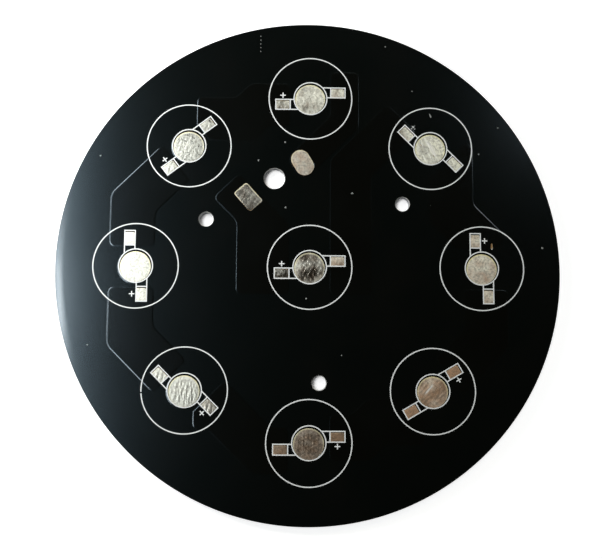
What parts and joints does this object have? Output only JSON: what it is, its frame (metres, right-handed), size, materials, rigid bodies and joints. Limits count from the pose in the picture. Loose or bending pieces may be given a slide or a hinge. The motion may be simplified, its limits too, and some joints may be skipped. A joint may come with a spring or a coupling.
{
  "type": "aluminium-core led circuit board",
  "caption": "Round black aluminium-core circuit board with tinned pads and white legend rings for power emitters in series, fixing holes and a wire hole.",
  "frame": {"origin": "centre of the disc on its back face", "axes": "+Z out of the printed side, +Y towards the site at the top of the picture"},
  "size_m": [0.1, 0.1, 0.0017],
  "materials": {
    "aluminium": "mill finish, punched edge",
    "dielectric": "filled resin, seen only at the edge",
    "copper": "etched foil under the mask",
    "solder_mask": "satin black coat",
    "tin": "hot-dipped solder, mottled and streaky",
    "legend_ink": "matt white screen print"
  },
  "bodies": {
    "root": {"base_plate": "aluminium", "dielectric_layer": "dielectric", "feed_track": "copper", "link_track_1": "copper", "link_track_2": "copper", "link_track_3": "copper", "link_track_4": "copper", "link_track_5": "copper", "link_track_6": "copper", "link_track_7": "copper", "link_track_8": "copper", "return_track": "copper", "thermal_land_1": "copper", "thermal_land_2": "copper", "thermal_land_3": "copper", "thermal_land_4": "copper", "thermal_land_5": "copper", "thermal_land_6": "copper", "thermal_land_7": "copper", "thermal_land_8": "copper", "thermal_land_9": "copper", "solder_mask": "solder_mask", "slug_pad_1": "tin", "slug_pad_2": "tin", "slug_pad_3": "tin", "slug_pad_4": "tin", "slug_pad_5": "tin", "slug_pad_6": "tin", "slug_pad_7": "tin", "slug_pad_8": "tin", "slug_pad_9": "tin", "anode_pad_1": "tin", "anode_pad_2": "tin", "anode_pad_3": "tin", "anode_pad_4": "tin", "anode_pad_5": "tin", "anode_pad_6": "tin", "anode_pad_7": "tin", "anode_pad_8": "tin", "anode_pad_9": "tin", "cathode_pad_1": "tin", "cathode_pad_2": "tin", "cathode_pad_3": "tin", "cathode_pad_4": "tin", "cathode_pad_5": "tin", "cathode_pad_6": "tin", "cathode_pad_7": "tin", "cathode_pad_8": "tin", "cathode_pad_9": "tin", "positive_wire_pad": "tin", "negative_wire_pad": "tin", "legend_1": "legend_ink", "legend_2": "legend_ink", "legend_3": "legend_ink", "legend_4": "legend_ink", "legend_5": "legend_ink", "legend_6": "legend_ink", "legend_7": "legend_ink", "legend_8": "legend_ink", "legend_9": "legend_ink"}
  },
  "joints": []
}
